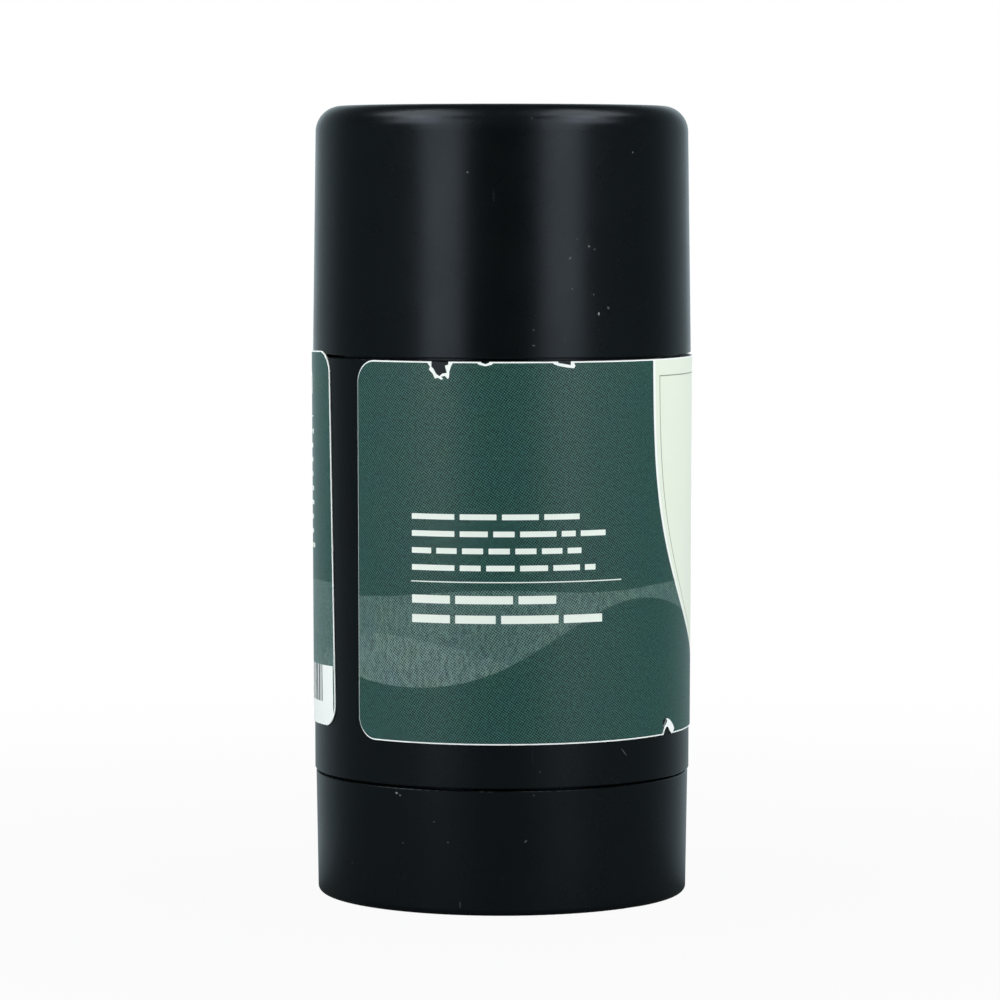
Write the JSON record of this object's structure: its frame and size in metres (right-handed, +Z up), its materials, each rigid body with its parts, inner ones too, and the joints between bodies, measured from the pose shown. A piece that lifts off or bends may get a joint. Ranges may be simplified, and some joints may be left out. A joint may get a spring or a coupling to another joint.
{
  "type": "deodorant stick",
  "caption": "Round twist-up deodorant stick with a lift-off cap, a wrap label on its barrel, and a turning base that raises the bar on a feed screw.",
  "frame": {"origin": "centre of the circle that the base stands on, at floor level", "axes": "+Z up along the stick's axis; the label's small print faces -Y, and the bare strip between the label's ends faces -X and -Y"},
  "size_m": [0.05, 0.05, 0.1035],
  "materials": {
    "black_plastic": "satin",
    "label_film": "satin printed film",
    "white_plastic": "as moulded",
    "deodorant": "waxy"
  },
  "bodies": {
    "barrel_body": {"barrel": "black_plastic", "wrap_label": "label_film"},
    "cap_body": {"cap": "black_plastic"},
    "base_body": {"base_dial": "black_plastic", "feed_screw": "white_plastic"},
    "lift_body": {"elevator": "white_plastic", "deodorant_bar": "deodorant"}
  },
  "joints": [
    {"name": "base_turn", "type": "hinge", "parent": "barrel_body", "child": "base_body", "pos_m": [0, 0, 0.0173], "axis": [0, 0, 1], "range_deg": [0, 1800]},
    {"name": "bar_lift", "type": "slide", "parent": "barrel_body", "child": "lift_body", "axis": [0, 0, 1], "range_m": [0, 0.024]},
    {"name": "cap_lift", "type": "slide", "parent": "barrel_body", "child": "cap_body", "axis": [0, 0, 1], "range_m": [0, 0.065]}
  ],
  "couplings": [
    {"joint": "base_turn", "follows": "bar_lift", "rad_per_m": 1309}
  ]
}
